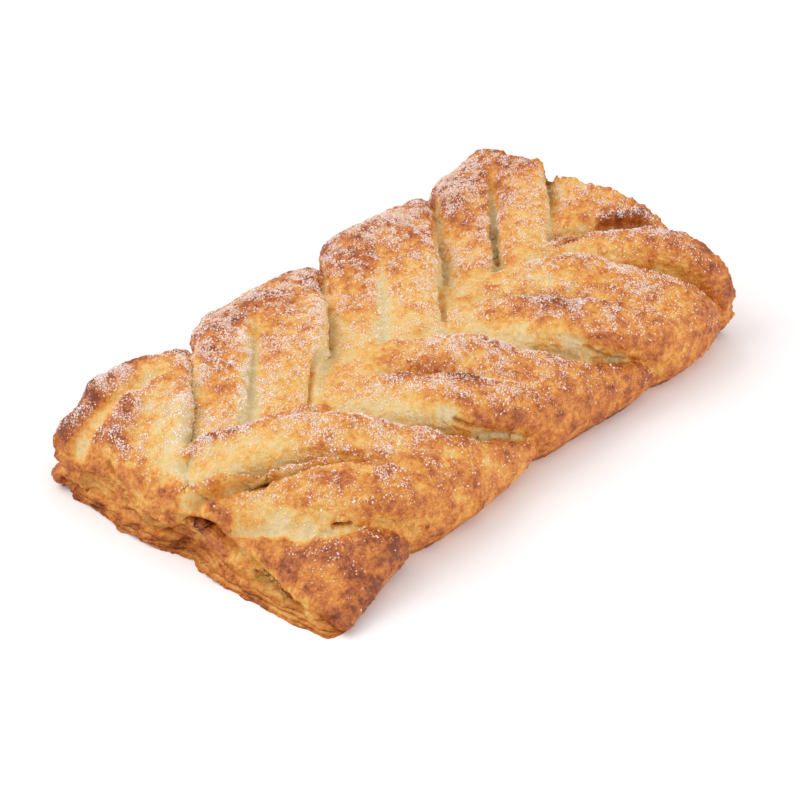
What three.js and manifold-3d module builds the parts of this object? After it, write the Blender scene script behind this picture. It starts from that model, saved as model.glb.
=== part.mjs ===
// Apple danish: a plait of puff pastry, baked in one piece. A flaky base sheet carries a filled core, and
// strips cut from the sheet's two long sides fold up over it, left and right in turn, and meet in a zigzag.
// Millimetres. X runs along the plait, +Y is its left side seen from the -X end, Z is up from the tray.
import * as THREE from "three";
import { mergeVertices } from "three/addons/utils/BufferGeometryUtils.js";
import Module from "manifold-3d";

const wasm = await Module();
wasm.setup();
const { smoothstep, lerp, seededRandom } = THREE.MathUtils;

// Driving dimensions. The reach of a point on a strip is its distance sideways from the middle of the plait.
const LENGTH = 152;
const PITCH = 42.8; // along X, from one strip to the next on the same side
const RIGHT_CUT = -6.2; // x less reach, at a cut between two right strips
const LEFT_CUT = -29.8; // the same for the left strips
const RIGHT_SWEEP = 10; // how far the outer ends of the right strips lean on towards +X
const FAR_SWEEP = -6; // the same at the +X end, where they lean back
const NEAR_SHIFT = 8.5; // how far the tips of the right strips move towards +X at the -X end
const STRIP_THICK = 5;
const STRIP_FILL = 0.98; // share of the pitch that a strip covers
const HUMP = 4.4; // how far a strip puffs up between its cut edges
const FOOT = 0.4; // share of that puff left at the outer end, where the strip joins the base
const INNER_TILT = 1.4; // rise of a strip's far edge over its middle, near the zigzag
const OUTER_TILT = -2; // the same at the outer end, where the near edge is the higher one
const SLIT_REACH = [14, 30]; // a slit runs open from the tip to the first reach and closes at the second
const STRIP_LINES = [12, 18]; // segments across and along a strip

// How the loaf departs from an even plait: shares of its height, and distances sideways
const LEFT_RISE = 0.18;
const FAR_RISE = 0.3;
const NEAR_SINK = 0.14;
const PINCH = 0.68;
const LEFT_SPREAD = 1.5;
const CORNER_FLARE = 3.5;

const LEAF_COUNT = 4; // leaves of the base sheet that part at the cut ends
const LEAF_THICK = 1.4;
const LEAF_STEP = 1.8;
const LEAF_POINTS = 76;
const LEAF_WAVES = 11; // shallow scallops round the edge of a leaf
const LEAF_ROUGH = [0.8, 1.6]; // depth of the scallops, and of the ragged edge on top of them
const BASE_HALF_WIDTH = 35;
const BASE_CORNER = 4; // how far the base's left corner at the -X end sticks out
const BASE_MIDDLE = 1; // the base lies a little to the left of the zigzag

const END_RECESS = 4.5; // how far the cut ends draw back between the base sheet and the strips
const MOUTH = 6.5; // height of the deepest point of that recess
const NOSE = 11; // the strips' cut ends are furthest out at this height and round off above it
const CORE_GAP = 2; // the core stops this far short of the recess

const SUGAR_COUNT = 70; // the coarsest sugar crystals
const SUGAR_SIZE = [1.1, 1.9];
const SUGAR_FLOOR = 15; // crystals stay on the crust above this height
const SUGAR_LEVEL = 0.75; // and where the crust's normal points up by at least this share
const DROP_HEIGHT = 60;
const SLIVER = 0.01;
const SEED = 3;

// Fold of a strip from under the side edge up over the filling: reach, and height of its cut edges
const foldOf = (points) => new THREE.SplineCurve(points.map((point) => new THREE.Vector2(...point)));
const leftFold = foldOf([
  [33, 1],
  [37.2, 4],
  [38.2, 10.5],
  [35.8, 16.8],
  [29, 19.8],
  [19, 19],
  [10, 17.8],
  [3, 16.6],
  [-3, 15],
  [-9, 12],
  [-16, 7],
]);
const rightFold = foldOf([
  [30, 0.8],
  [33.6, 2.8],
  [34.2, 6.2],
  [32, 10.4],
  [27, 14.2],
  [18, 16.8],
  [10, 17.6],
  [3, 17.2],
  [-3, 15.8],
  [-9, 12.6],
  [-16, 7],
]);

// The strips of each side from the -X end on: the cut each starts at, the depth of its middle slit,
// the slit's width as a share of the strip's half width, and its own outer tilt where that differs
const strips = [
  { side: 1, turn: -2, slitDepth: 2, slitWidth: 0.16 },
  { side: 1, turn: -1, slitDepth: 2.2, slitWidth: 0.22 },
  { side: 1, turn: 0, slitDepth: 1.6, slitWidth: 0.2 },
  { side: 1, turn: 1, slitDepth: 3.2, slitWidth: 0.13 },
  { side: 1, turn: 2, slitDepth: 2, slitWidth: 0.16 },
  { side: -1, turn: -3, slitDepth: 1, slitWidth: 0.2, outerTilt: 0.5 },
  { side: -1, turn: -2, slitDepth: 4, slitWidth: 0.12, outerTilt: -0.6 },
  { side: -1, turn: -1, slitDepth: 2.2, slitWidth: 0.14 },
  { side: -1, turn: 0, slitDepth: 2.2, slitWidth: 0.14 },
  { side: -1, turn: 1, slitDepth: 2.2, slitWidth: 0.14 },
];

// Moves every point of a geometry by place(x, y, z)
function reshape(geometry, place) {
  const position = geometry.getAttribute("position");
  for (let i = 0; i < position.count; i++) {
    position.setXYZ(i, ...place(position.getX(i), position.getY(i), position.getZ(i)));
  }
  return geometry;
}

// A box of the given segments whose every point (u, v, w), each from 0 to 1, goes to place(u, v, w)
function shapedBox(across, along, deep, place) {
  const box = new THREE.BoxGeometry(1, 1, 1, across, along, deep);
  return reshape(box, (x, y, z) => place(x + 0.5, y + 0.5, z + 0.5));
}

function solidOf(geometry) {
  geometry.deleteAttribute("normal");
  geometry.deleteAttribute("uv");
  const { attributes, index } = mergeVertices(geometry, 1e-4);
  const vertProperties = attributes.position.array;
  const triVerts = new Uint32Array(index.array);
  const solid = new wasm.Manifold(new wasm.Mesh({ numProp: 3, vertProperties, triVerts }));
  if (solid.volume() > 0) return solid;
  return new wasm.Manifold(new wasm.Mesh({ numProp: 3, vertProperties, triVerts: triVerts.reverse() }));
}

// The plait is fuller to the left and the +X end, sinks at the -X end, and is pinched flat in that end's
// right corner, which flares out
function settle(x, y, z) {
  const full = smoothstep(x, -90, 40) * smoothstep(y, 0, 36);
  const far = smoothstep(x, 20, 90) * smoothstep(-y, -40, 0);
  const near = smoothstep(-x, 46, 78);
  const pinch = smoothstep(-x, 52, 78) * smoothstep(-y, -8, 22);
  const flare = smoothstep(-x, 50, 78) * smoothstep(-y, 18, 36);
  const risen = (1 + LEFT_RISE * full) * (1 + FAR_RISE * far);
  const sunk = (1 - NEAR_SINK * near) * (1 - PINCH * pinch);
  return [x, y + LEFT_SPREAD * full - CORNER_FLARE * flare, z * risen * sunk];
}

// Point of a strip: c runs from its -X edge (-1) to its +X edge (1), v from its outer end (0) to its tip (1),
// and up from its underside (0) to its crust (1)
function stripPoint({ side, turn, slitDepth, slitWidth, outerTilt = OUTER_TILT }, c, v, up) {
  const fold = side > 0 ? leftFold : rightFold;
  const { x: reach, y: height } = fold.getPoint(v);
  const tangent = fold.getTangent(v);
  const tilt = lerp(INNER_TILT, outerTilt, smoothstep(reach, 8, 34));
  const puff = lerp(FOOT, 1, smoothstep(v, 0.02, 0.3));
  const slit = slitDepth * Math.exp(-((c / slitWidth) ** 2)) * (1 - smoothstep(reach, ...SLIT_REACH));
  const crust = puff * (HUMP * (1 - c ** 4) + tilt * c) - slit;
  const lift = lerp(-STRIP_THICK, crust, up);
  const cut = (side > 0 ? LEFT_CUT : RIGHT_CUT) + turn * PITCH;
  const straight = cut + PITCH * (0.5 + 0.5 * STRIP_FILL * c);
  const outer = smoothstep(reach, 14, 36);
  const sweep = outer * lerp(RIGHT_SWEEP, FAR_SWEEP, smoothstep(straight + reach, 30, 85));
  const shift = (1 - outer) * NEAR_SHIFT * smoothstep(-straight, 64, 92);
  const x = straight + reach + (side > 0 ? 0 : sweep + shift);
  return settle(x, side * (reach + tangent.y * lift), height - tangent.x * lift);
}

// The lines along a strip lie closer together at its slit
function stripSolid(strip) {
  const spread = (s) => s * (0.6 + 0.4 * s * s);
  return solidOf(shapedBox(...STRIP_LINES, 1, (u, v, w) => stripPoint(strip, spread(2 * u - 1), v, w)));
}

// The filled core: the room under the two folds, from one cut end to the other
function core() {
  const inset = STRIP_THICK / 2;
  const arch = (fold, side) =>
    fold
      .getPoints(14)
      .map((point, i, all) => {
        const tangent = fold.getTangent(i / (all.length - 1));
        return new THREE.Vector2(side * (point.x - tangent.y * inset), point.y + tangent.x * inset);
      })
      .filter((point) => side * point.x > 1 && point.y > 0.5);
  const outline = new THREE.Shape([...arch(leftFold, 1), ...arch(rightFold, -1).reverse()]);
  const span = LENGTH - 2 * (END_RECESS + CORE_GAP);
  const bar = new THREE.ExtrudeGeometry(outline, { depth: span, steps: 6, bevelEnabled: false });
  return solidOf(reshape(bar, (across, up, along) => settle(along - span / 2, across, up)));
}

// One rough-edged leaf of the base sheet; the higher leaves draw back further at the ends
function leaf(level) {
  const halfLength = LENGTH / 2 - 0.5 * level ** 2;
  const halfWidth = BASE_HALF_WIDTH - 0.4 * level;
  const [scallop, ragged] = LEAF_ROUGH;
  const outline = [];
  for (let i = 0; i < LEAF_POINTS; i++) {
    const turn = (2 * Math.PI * i) / LEAF_POINTS;
    const square = 1 / Math.max(Math.abs(Math.cos(turn)), Math.abs(Math.sin(turn)));
    const rough = scallop * Math.sin(LEAF_WAVES * turn + 1.3 * level) + ragged * (seededRandom() - 0.5);
    const x = Math.cos(turn) * square * halfLength + rough * Math.sign(Math.cos(turn));
    const y = Math.sin(turn) * square * halfWidth + 0.4 * rough;
    const corner = BASE_CORNER * smoothstep(-x, 55, 76) * smoothstep(y, 20, 34);
    outline.push(new THREE.Vector2(x, y + corner));
  }
  const shape = new THREE.Shape(outline);
  const sheet = new THREE.ExtrudeGeometry(shape, { depth: LEAF_THICK, bevelEnabled: false });
  return solidOf(reshape(sheet, (x, y, z) => settle(x, y + BASE_MIDDLE, LEAF_STEP * level + z)));
}

// The room that the strips are cut to: its ends draw back low down, between the base sheet and the strips
function cutRoom() {
  const height = 40;
  const width = 120;
  const place = (u, v, w) => {
    const z = height * w;
    const mouth = END_RECESS * Math.exp(-(((z - MOUTH) / 3) ** 2));
    const round = 0.05 * Math.max(z - NOSE, 0) ** 1.7;
    return settle((2 * u - 1) * (LENGTH / 2 - 1.2 - mouth - round), (v - 0.5) * width, z);
  };
  return solidOf(shapedBox(2, 16, 16, place));
}

function meshOf(solid) {
  const { vertProperties, triVerts } = solid.getMesh();
  const geometry = new THREE.BufferGeometry();
  geometry.setAttribute("position", new THREE.BufferAttribute(vertProperties, 3));
  geometry.setIndex(new THREE.BufferAttribute(triVerts, 1));
  const crust = new THREE.MeshStandardMaterial({ color: 0xd9a45c, roughness: 0.7 });
  return new THREE.Mesh(geometry, crust);
}

// Sugar crystals dropped from above, kept where they land on a high and fairly level stretch of crust
function sugar(plaitMesh) {
  const above = new THREE.Vector3();
  const down = new THREE.Vector3(0, 0, -1);
  const crystals = [];
  while (crystals.length < SUGAR_COUNT) {
    const along = (seededRandom() - 0.5) * LENGTH;
    const across = (seededRandom() - 0.5) * 2 * BASE_HALF_WIDTH;
    const [hit] = new THREE.Raycaster(above.set(along, across, DROP_HEIGHT), down).intersectObject(plaitMesh);
    const size = lerp(...SUGAR_SIZE, seededRandom() ** 2);
    const turn = new THREE.Euler(seededRandom(), seededRandom(), 3 * seededRandom());
    if (!hit || hit.point.z < SUGAR_FLOOR || hit.face.normal.z < SUGAR_LEVEL) continue;
    const crystal = new THREE.BoxGeometry(size, 0.85 * size, 0.75 * size);
    crystal.applyMatrix4(new THREE.Matrix4().makeRotationFromEuler(turn).setPosition(hit.point));
    crystals.push(solidOf(crystal));
  }
  return crystals;
}

// Slivers that the joins leave are merged away, sealed hollows are filled and loose scraps dropped: the outer
// skin of the largest piece stays
function largest(solid) {
  const pieces = solid.simplify(SLIVER).decompose();
  return pieces.reduce((best, piece) => (piece.volume() > best.volume() ? piece : best));
}

seededRandom(SEED);
const room = cutRoom();
let plait = core();
for (const strip of strips) plait = plait.add(stripSolid(strip).intersect(room));
for (let level = 0; level < LEAF_COUNT; level++) plait = plait.add(leaf(level));
plait = largest(plait);
for (const crystal of sugar(meshOf(plait))) plait = plait.add(crystal);
plait = largest(plait);

// The origin is under the middle of the loaf, on the tray
const pastry = meshOf(plait);
pastry.name = "pastry";
const box = new THREE.Box3().setFromObject(pastry);
const middle = box.getCenter(new THREE.Vector3());
pastry.geometry.translate(-middle.x, -middle.y, -box.min.z);
const danish = new THREE.Group();
danish.add(pastry);
export default danish;
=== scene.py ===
import random
from functools import partial

import bmesh
import bpy
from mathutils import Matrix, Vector
from mathutils.bvhtree import BVHTree


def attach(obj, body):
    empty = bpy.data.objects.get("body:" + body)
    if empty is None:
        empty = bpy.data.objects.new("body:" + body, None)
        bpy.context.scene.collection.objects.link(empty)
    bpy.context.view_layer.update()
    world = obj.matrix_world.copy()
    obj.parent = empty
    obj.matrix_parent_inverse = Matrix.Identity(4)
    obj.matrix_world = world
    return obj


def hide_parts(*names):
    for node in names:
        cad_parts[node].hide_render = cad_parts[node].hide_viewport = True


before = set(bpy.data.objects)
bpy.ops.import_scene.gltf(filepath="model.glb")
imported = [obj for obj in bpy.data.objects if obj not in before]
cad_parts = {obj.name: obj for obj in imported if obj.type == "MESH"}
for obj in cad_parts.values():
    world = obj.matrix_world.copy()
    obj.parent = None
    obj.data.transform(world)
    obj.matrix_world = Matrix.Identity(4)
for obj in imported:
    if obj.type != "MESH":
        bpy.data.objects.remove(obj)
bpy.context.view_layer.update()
mm = 0.001

# the photo's camera: places in millimetres, and the pixels across the photo
view = {"place": (-271.95, -211.64, 215.1), "target": (-13.65, -6.94, 10), "lens": 78.55, "sensor": 36,
        "pixels": 800}
viewTurn = (Vector(view["target"]) - Vector(view["place"])).to_track_quat("-Z", "Y")

# short names for the nodes that are used most, with their settings
kinds = {
    "range": ("ShaderNodeMapRange", {}),
    "smooth": ("ShaderNodeMapRange", {"interpolation_type": "SMOOTHSTEP"}),
    "noise": ("ShaderNodeTexNoise", {}),
    "combine": ("ShaderNodeCombineXYZ", {}),
    "separate": ("ShaderNodeSeparateXYZ", {}),
    "store": ("GeometryNodeStoreNamedAttribute", {}),
    "stored": ("GeometryNodeInputNamedAttribute", {}),
    "position": ("GeometryNodeInputPosition", {}),
    "object": ("GeometryNodeObjectInfo", {}),
}
operations = {
    "ShaderNodeMath": {"times": "MULTIPLY", "plus": "ADD", "minus": "SUBTRACT", "timesPlus": "MULTIPLY_ADD",
                       "over": "DIVIDE", "power": "POWER", "atLeast": "MAXIMUM", "absolute": "ABSOLUTE"},
    "ShaderNodeVectorMath": {"scale": "SCALE", "vectorTimes": "MULTIPLY", "vectorPlus": "ADD",
                             "vectorMinus": "SUBTRACT"},
}
for kind, names in operations.items():
    kinds.update({name: (kind, {"operation": operation}) for name, operation in names.items()})


def linear(hexText):  # sRGB hex to the linear colour that the shaders use
    parts = [int(hexText[i:i + 2], 16) / 255 for i in (1, 3, 5)]
    return tuple(p / 12.92 if p <= 0.04045 else ((p + 0.055) / 1.055) ** 2.4 for p in parts) + (1.0,)


def addNode(tree, kind, inputs=(), **settings):
    # inputs: a list in socket order or a dictionary by socket name, of nodes, sockets or plain values
    kind, usual = kinds.get(kind, (kind, {}))
    node = tree.nodes.new(kind)
    for name, value in {**usual, **settings}.items():
        setattr(node, name, value)
    for key, value in inputs.items() if isinstance(inputs, dict) else enumerate(inputs):
        source = value.outputs[0] if isinstance(value, bpy.types.Node) else value
        if isinstance(source, bpy.types.NodeSocket):
            tree.links.new(source, node.inputs[key])
        elif source is not None:
            node.inputs[key].default_value = source
    return node


def newGeometryTree(name, **inputs):
    # a tree with a Geometry in and out and one named input for each size: "Float", "Int", "Object", ...
    tree = bpy.data.node_groups.new(name, "GeometryNodeTree")
    tree.interface.new_socket("Geometry", in_out="INPUT", socket_type="NodeSocketGeometry")
    for label, kind in inputs.items():
        tree.interface.new_socket(label, in_out="INPUT", socket_type="NodeSocket" + kind)
    tree.interface.new_socket("Geometry", in_out="OUTPUT", socket_type="NodeSocketGeometry")
    add = partial(addNode, tree)
    return tree, add, add("NodeGroupInput").outputs


def endTree(add, given, geometry):
    solid = add("GeometryNodeRealizeInstances", [geometry])
    solid = add("GeometryNodeSetMaterial", {"Geometry": solid, "Material": given["Material"]})
    add("NodeGroupOutput", [solid])


def endSettled(add, given, settledLoaf, geometry, place):
    # ends a tree with every point at its settled place
    place = add("GeometryNodeGroup", [place], node_tree=settledLoaf)
    endTree(add, given, add("GeometryNodeSetPosition", {"Geometry": geometry, "Position": place}))


def runTree(obj, tree, **values):
    modifier = obj.modifiers.new(tree.name, "NODES")
    modifier.node_group = tree
    for item in tree.interface.items_tree:
        if item.in_out == "INPUT" and item.name in values:
            value = values[item.name]
            modifier[item.identifier] = float(value) if item.socket_type == "NodeSocketFloat" else value


def bakeMesh(obj):
    # the evaluated object as a plain mesh, with its modifiers gone
    obj.update_tag()
    depsgraph = bpy.context.evaluated_depsgraph_get()
    mesh = bpy.data.meshes.new_from_object(obj.evaluated_get(depsgraph), depsgraph=depsgraph)
    obj.modifiers.clear()
    obj.data = mesh
    return obj


def newObject(name, data=None):
    obj = bpy.data.objects.new(name, data or bpy.data.meshes.new(name))
    bpy.context.collection.objects.link(obj)
    return obj


def joinObjects(name, objects):
    with bpy.context.temp_override(active_object=objects[0], selected_editable_objects=objects):
        bpy.ops.object.join()
    objects[0].name = objects[0].data.name = name
    return objects[0]


def countTriangles(obj):
    return sum(len(face.vertices) - 2 for face in obj.data.polygons)


def addPatches(add, here, patches, onto):
    # noise of each size in millimetres, added to a value with its share, half of it up and half down
    for size, share in patches:
        patch = add("noise", {"Vector": here, "Scale": 1 / size, "Detail": 2.0})
        patch = add("minus", [patch, 0.5])
        onto = add("timesPlus", [patch, share, onto])
    return onto


def newMaterial(name):
    material = bpy.data.materials.new(name)
    material.use_nodes = True
    material.node_tree.nodes.clear()
    return material, partial(addNode, material.node_tree)


def fillRamp(ramp, tones):
    for i, (place, colour) in enumerate(tones):
        stop = ramp.elements[i] if i < 2 else ramp.elements.new(place)
        stop.position = place
        stop.color = linear(colour)


def endCrust(add, here, finish, colour):
    # ends a material with a baked surface, and the grain that is too fine for the mesh
    size, depth = finish["bump"]
    fine = add("noise", {"Vector": here, "Scale": 1 / size, "Detail": 3.0})
    bump = add("ShaderNodeBump", {"Height": fine, "Distance": depth * mm, "Strength": 1.0})
    skin = add("ShaderNodeBsdfPrincipled", {"Base Color": colour, "Roughness": finish["roughness"],
                                            "IOR": finish["ior"], "Normal": bump})
    add("ShaderNodeOutputMaterial", [skin])


pastryFinish = {
    # browning, from raw-looking grooves to the darkest blisters; the dark end also gives the painted shade
    # of the darkened creases
    "tones": [(0.0, "#dcc594"), (0.2, "#e0bc78"), (0.38, "#e1a852"), (0.55, "#d68b39"), (0.72, "#bf6c2c"),
              (0.88, "#9f5122"), (1.0, "#7a3a1a")],
    "mottle": ((2.6, 0.45), (1.1, 0.6), (0.5, 0.5)),  # size in mm and share of the tones
    # sugar dust, drawn coarser to show: size in mm, tone, share of the crust, how well it hides it, edge
    "dust": {"size": 0.4, "tone": "#efdacb", "cover": 0.7, "veil": 0.7, "edge": (0.5, 0.3)},
    "bump": (0.7, 0.45),  # size and depth in mm
    "roughness": 0.52,
    "ior": 1.45,
}


def bakedPuffPastry():
    # egg-washed puff pastry: pale and dull in the folds, golden to brown and faintly glossy on the ridges
    material, add = newMaterial("baked puff pastry")
    here = add("ShaderNodeTexCoord").outputs["Object"]
    here = add("scale", {0: here, "Scale": 1 / mm})
    toast = add("ShaderNodeAttribute", attribute_name="toast").outputs["Fac"]
    tones = add("ShaderNodeValToRGB", [addPatches(add, here, pastryFinish["mottle"], toast)])
    fillRamp(tones.color_ramp, pastryFinish["tones"])
    dust = pastryFinish["dust"]
    grains = add("ShaderNodeTexVoronoi", {"Vector": here, "Scale": 1 / dust["size"]})
    grain = add("range", [grains.outputs["Distance"], *dust["edge"], 0, dust["veil"]])
    lot = add("separate", [grains.outputs["Color"]]).outputs["X"]
    sugared = add("ShaderNodeAttribute", attribute_name="sugared").outputs["Fac"]
    share = add("times", [sugared, dust["cover"]])
    lies = add("ShaderNodeMath", [lot, share], operation="LESS_THAN")
    grain = add("times", [grain, lies])
    colour = add("ShaderNodeMix", {"Factor": grain, "A": tones, "B": linear(dust["tone"])}, data_type="RGBA")
    endCrust(add, here, pastryFinish, colour.outputs["Result"])
    return material


leafFinish = {
    "tones": [(0.0, "#e0bd80"), (0.35, "#d99d4e"), (0.6, "#c87a31"), (0.8, "#a65a26"), (1.0, "#723a1a")],
    "rim": (0.85, 1.0, 0.42, 0.76),  # where a leaf's rim begins and ends, and the browning there
    "patches": ((5, 1.1), (1.2, 0.7), (0.5, 0.4)),
    "bump": (0.7, 0.35),
    "roughness": 0.65,
    "ior": 1.45,
}


def flakyPuffPastry():
    # the cut edge of laminated dough: thin leaves, browned at their rims and paler inside
    material, add = newMaterial("flaky puff pastry edge")
    here = add("ShaderNodeTexCoord").outputs["Object"]
    here = add("scale", {0: here, "Scale": 1 / mm})
    rim = add("ShaderNodeAttribute", attribute_name="rim").outputs["Fac"]
    tone = add("range", [rim, *leafFinish["rim"]])
    tones = add("ShaderNodeValToRGB", [addPatches(add, here, leafFinish["patches"], tone)])
    fillRamp(tones.color_ramp, leafFinish["tones"])
    endCrust(add, here, leafFinish, tones)
    return material


# the plait's own rule, in millimetres: x along it, reach = distance sideways from its middle. Spans named
# "along" are shares of a strip's length, 0 at its outer end, and "across" ones run from -1 to 1
plait = {
    "length": 152,
    "middle": (-0.05, 1.64, 0),  # where the frame's origin lies in the rule's own frame
    "pitch": 42.8,  # from one strip to the next on a side
    "cut": {1: -29.8, -1: -6.2},  # x less reach at a cut, left (1) and right (-1)
    "stripMesh": {"Size": (1, 1, 1), "Vertices X": 100, "Vertices Y": 140, "Vertices Z": 2},
    "sweep": (10, -6),  # lean of the right strips' outer ends, near end and far end
    "sweepSpan": (30, 85),
    "sideAlong": (0.3, 0.1),  # where a strip's side begins and ends
    "nearShift": 8.5,  # slide of the near right tips, half of it further out
    "shiftReach": (12, 27),
    "shiftCut": (-64, -92),
    # slide of the left strips: outer ends near and far, tips, and where along x and the reach it changes
    "leftLean": {"outer": (1.2, 7), "tip": -4, "span": (-75, 56), "reach": (30, -2)},
    "belly": 1.4,  # how far a strip's side bulges between its cuts
    "thick": 5,
    "under": 0.5,  # the strips' lowest point, on the bottom leaf
    "fill": (0.99, 0.98),  # share of the pitch that a strip fills: at the zigzag, at the outer end
    "fillReach": (12, 33),
    "pocket": (0.12, 0.27, 0.44, 0.8),  # gap between right strips, along: from, widest, to; its half width
    "pocketCut": (-88, -56),
    "edge": 9,  # how square a strip's edges are
    "lobe": (1.0, 4),  # how far a lobe bulges, and how square it is
    "waver": (11, 2.6),  # size and depth of the bends in the cuts
    "foot": 0.4,  # share of the hump left at the outer end
    "footAlong": (0.015, 0.23),
    "tilt": 1.6,  # a strip's far edge over its middle, near the zigzag; the shoulders have their own
    "tiltCut": (-96, -70, 0.15),  # where the near end's tilt grows, from this share of it
    "tiltAlong": ((0.54, 0.38), (0.22, 0.12)),  # where the tilt turns over, and where it ends
    "dropAcross": (0.3, -1),
    "dropAlong": (0.45, 0.65),
    "slitReach": (14, 31),
    "slitStart": (-3, 5),  # how softly it begins
    "slitSlope": (-0.3, -2.0),  # a slit's profile in slit widths: a slope up to one lobe,
    "slitStep": (-0.3, 0.1),  # a step up to the other
    "nose": (11, 1.7, 0.05),  # the cut ends lean back above this height, by a power and a share
    "endInset": 0.6,
    "ragged": (2.5, 1.6),  # size and depth of the bites in the cut ends
    # fold of a strip from under the side edge up over the filling: reach and height of its cut edges
    "fold": {
        1: [(33, 1), (37.2, 4), (38.2, 10.5), (35.8, 16.8), (29, 19.8), (19, 19), (10, 17.8), (3, 16.6),
            (-3, 15), (-9, 12), (-16, 7)],
        -1: [(30, 0.8), (33.6, 2.8), (34.2, 6.2), (32, 10.4), (27, 14.2), (18, 16.8), (10, 17.6), (3, 17.2),
             (-3, 15.8), (-9, 12.6), (-16, 7)],
    },
    # each strip: side, the cut it starts at, how much browner it is, and its own sizes: the slit's place
    # across, depth, width and the reach it starts at, shingle (how far each lobe's far edge stands over its
    # near edge), tilt and drop of the near edge at the shoulder, what a lobe's far edge adds to the
    # browning, and what the edge that tucks under its neighbour takes from it
    "ownSizes": ("SlitPlace", "SlitDepth", "SlitWidth", "SlitFrom", "Shingle", "OuterTilt", "NearDrop",
                 "CrestBake", "PaleEdge"),
    "strips": [
        (1, -2, 0.02, -0.35, 0.6, 0.12, -20, -1.0, -2, 0, -0.2, 0.26),
        (1, -1, 0, -0.02, 2.4, 0.19, -20, 0.2, -2, 1.2, -0.05, 0.26),
        (1, 0, 0.03, 0, 0.7, 0.12, -20, 0.5, -2, 1.2, -0.05, 0.26),
        (1, 1, 0.06, 0.03, 3.6, 0.12, -20, 0.4, -2, 1.4, -0.03, 0.26),
        (1, 2, 0.05, -0.1, 2, 0.12, -20, 0.3, -2, 0, 0, 0.26),
        (-1, -3, 0.18, 0.3, 1, 0.1, 0, 1.6, -0.6, 0, 0.02, 0.1),
        (-1, -2, -0.05, -0.04, 5.6, 0.16, -20, 3.2, -1.2, 0, 0.08, 0.06),
        (-1, -1, 0.02, -0.05, 2.2, 0.14, 6, 2.8, -2, 0, 0.12, 0.24),
        (-1, 0, -0.02, -0.05, 2.6, 0.14, 3, 2.8, -2, 0, 0.12, 0.24),
        (-1, 1, 0.1, -0.42, 4.8, 0.17, -20, 0.6, -1.2, 0, 0.14, 0.22),
    ],
    # what the strips of a side share: hump, browning and sugar at the tip and the shoulder, sugar on a
    # lobe's far edge, where across the tucked edge is pale, how pale the slit is, browning of the cut walls
    "sides": {
        1: {"Hump": 4.2, "TipBake": 0.32, "ShoulderBake": 0.69, "TipSweet": 0.5, "ShoulderSweet": 1.25,
            "CrestSweet": 0, "PaleFrom": 0.55, "PaleTo": 1, "SlitPale": 0.48, "Wall": 0.12},
        -1: {"Hump": 3.6, "TipBake": 0.38, "ShoulderBake": 0.62, "TipSweet": 0.3, "ShoulderSweet": 0.9,
             "CrestSweet": 1, "PaleFrom": 0.3, "PaleTo": 1, "SlitPale": 0.1, "Wall": 0.46},
    },
    "bakeReach": (3, 27),  # from the tip's browning to the shoulder's
    "sweetReach": (3, 24),
    "crestSpan": (0.35, 0.85),  # across a lobe, where its far edge begins and is reached
    "shadeReach": (20, 30),  # where a tucked edge stops being pale
    "wallAcross": (0.96, 0.985),  # from the crust to the cut wall
    "wallAlong": (0.24, 0.14),  # from the wall's browning to the shoulder's
    "leftWall": 0.1,  # how much further in that is on the left
    "bare": (24, 33, 0.95),  # reach over which the sugar on the right strips ends, and how much of it
    "clean": (-0.5, -0.8, 0.8),  # the same across them, at the near edge
    "end": 0.52,  # browning of the cut ends
    # the filling's end leans back from the base; at the near end it stands out more on the right
    "lip": {"bake": 0.52, "out": 2.6, "nearOut": (1.4, 4.8), "across": (4, -14), "height": (8, 0.5)},
    "coreSpan": 146.4,
    "coreFloor": 0.3,
    "coreMesh": {"Size": (1, 1, 1), "Vertices X": 50, "Vertices Y": 90, "Vertices Z": 20},
    # knobs at the corners of the base: place, half sizes, browning
    "knobs": [((-73.4, 40.4, 4.4), (2.6, 2.8, 3.0), 0.72)],
}

# how the loaf departs from an even plait: zones along x and y, and what each does
settle = {
    "zones": {
        "full": [("X", -90, 40), ("Y", 0, 36)],
        "far": [("X", 20, 90), ("Y", 40, 0)],
        "near": [("X", -46, -78)],
        "pinch": [("X", -52, -78), ("Y", 8, -22)],
        "flare": [("X", -50, -78), ("Y", -18, -36)],
        "farFlare": [("X", 6, 44), ("X", 88, 62), ("Y", -12, -36)],
        "nearLeft": [("X", -56, -74), ("Y", 18, 38)],
        "farTip": [("X", 58, 76), ("Y", -18, -38)],
        "skirt": [("Y", -20, -36)],
        "farTop": [("X", 62, 78), ("Y", -24, 2)],
        "farDrop": [("X", 58, 78), ("Y", -14, -34)],
        "roll": [("X", -63, -77.5), ("Y", -8, 14), ("Y", 54, 30)],
    },
    # shares of the height
    "rise": {"full": 0.18, "far": 0.41, "near": -0.14, "pinch": -0.68, "roll": -0.5, "farTop": 0.1,
             "farDrop": -0.1},
    # sideways
    "spread": {"full": 1.5, "flare": -1.4, "farFlare": -4.4, "skirt": -1.0, "nearLeft": -0.3, "farTip": 0.3},
}


def catmullRom(points, perSpan=12):
    pts = [Vector(p) for p in points]
    pts = [2 * pts[0] - pts[1], *pts, 2 * pts[-1] - pts[-2]]
    curve = []
    for i in range(1, len(pts) - 2):
        a, b, c, d = pts[i - 1:i + 3]
        for k in range(perSpan):
            t = k / perSpan
            curve.append(0.5 * (2 * b + (c - a) * t + (2 * a - 5 * b + 4 * c - d) * t ** 2
                                + (3 * b - a - 3 * c + d) * t ** 3))
    return [*curve, pts[-2]]


def guideCurve(name, points):
    data = bpy.data.curves.new(name, "CURVE")
    data.dimensions = "3D"
    spline = data.splines.new("POLY")
    spline.points.add(len(points) - 1)
    for point, (x, y) in zip(spline.points, points):
        point.co = (x, y, 0, 1)
    return newObject(name, data)


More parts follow.
